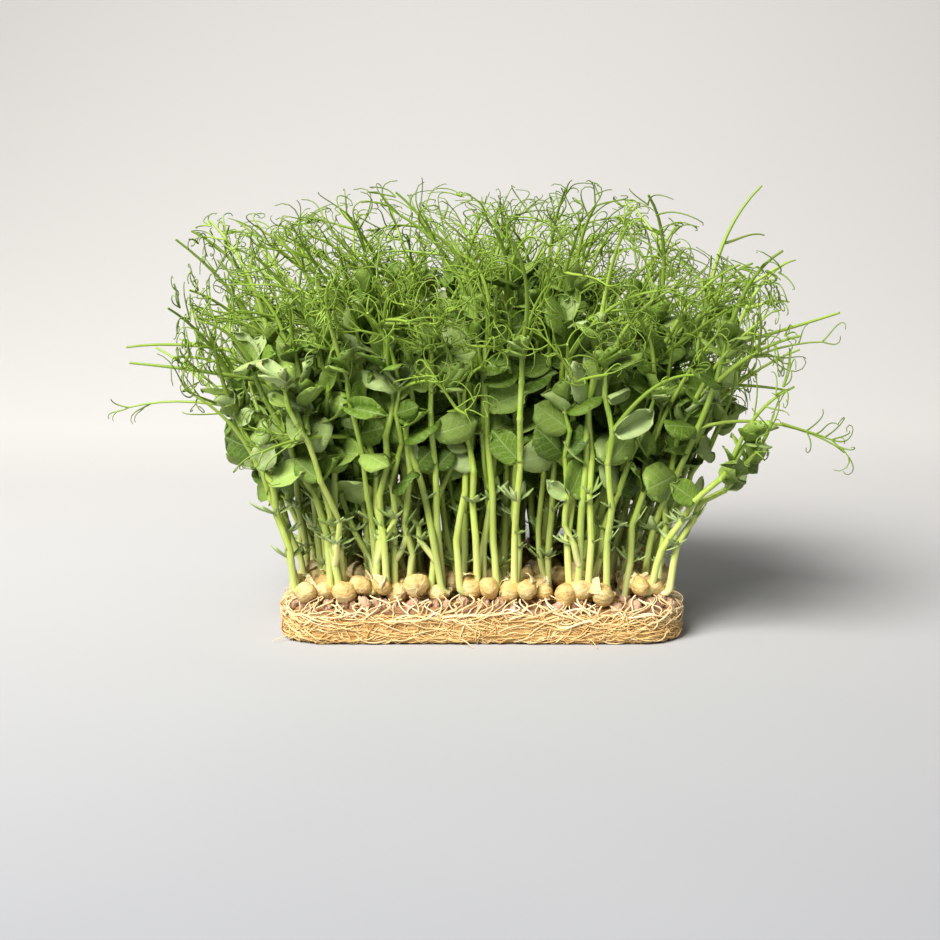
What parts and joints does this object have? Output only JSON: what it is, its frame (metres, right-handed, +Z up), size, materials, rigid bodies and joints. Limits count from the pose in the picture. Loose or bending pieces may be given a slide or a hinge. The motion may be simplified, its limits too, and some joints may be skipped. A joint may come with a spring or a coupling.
{
  "type": "pea shoot microgreens mat",
  "caption": "Rectangular root mat with rows of sprouted peas, carrying upright leafy pea shoots that fan out and end in branched tendrils.",
  "frame": {"origin": "centre of the root mat's flat underside", "axes": "+Z up, +X along the long side of the mat, -Y towards the front"},
  "size_m": [0.3098, 0.2431, 0.1981],
  "materials": {
    "roots": "matted golden tan roots, moist and fibrous",
    "peas": "cream swollen peas, satin, with wrinkled skins",
    "shoots": "fresh green shoots, matt, paler towards the foot"
  },
  "bodies": {
    "root": {"root_mat": "roots", "pea_row_1": "peas", "pea_row_2": "peas", "pea_row_3": "peas", "pea_row_4": "peas", "pea_row_5": "peas", "shoot_01": "shoots", "shoot_02": "shoots", "shoot_03": "shoots", "shoot_04": "shoots", "shoot_05": "shoots", "shoot_06": "shoots", "shoot_07": "shoots", "shoot_08": "shoots", "shoot_09": "shoots", "shoot_10": "shoots", "shoot_11": "shoots", "shoot_12": "shoots", "shoot_13": "shoots", "shoot_14": "shoots", "shoot_15": "shoots", "shoot_16": "shoots", "shoot_17": "shoots", "shoot_18": "shoots", "shoot_19": "shoots", "shoot_20": "shoots", "shoot_21": "shoots", "shoot_22": "shoots", "shoot_23": "shoots", "shoot_24": "shoots", "shoot_25": "shoots", "shoot_26": "shoots", "shoot_27": "shoots", "shoot_28": "shoots", "shoot_29": "shoots", "shoot_30": "shoots", "shoot_31": "shoots", "shoot_32": "shoots"}
  },
  "joints": []
}
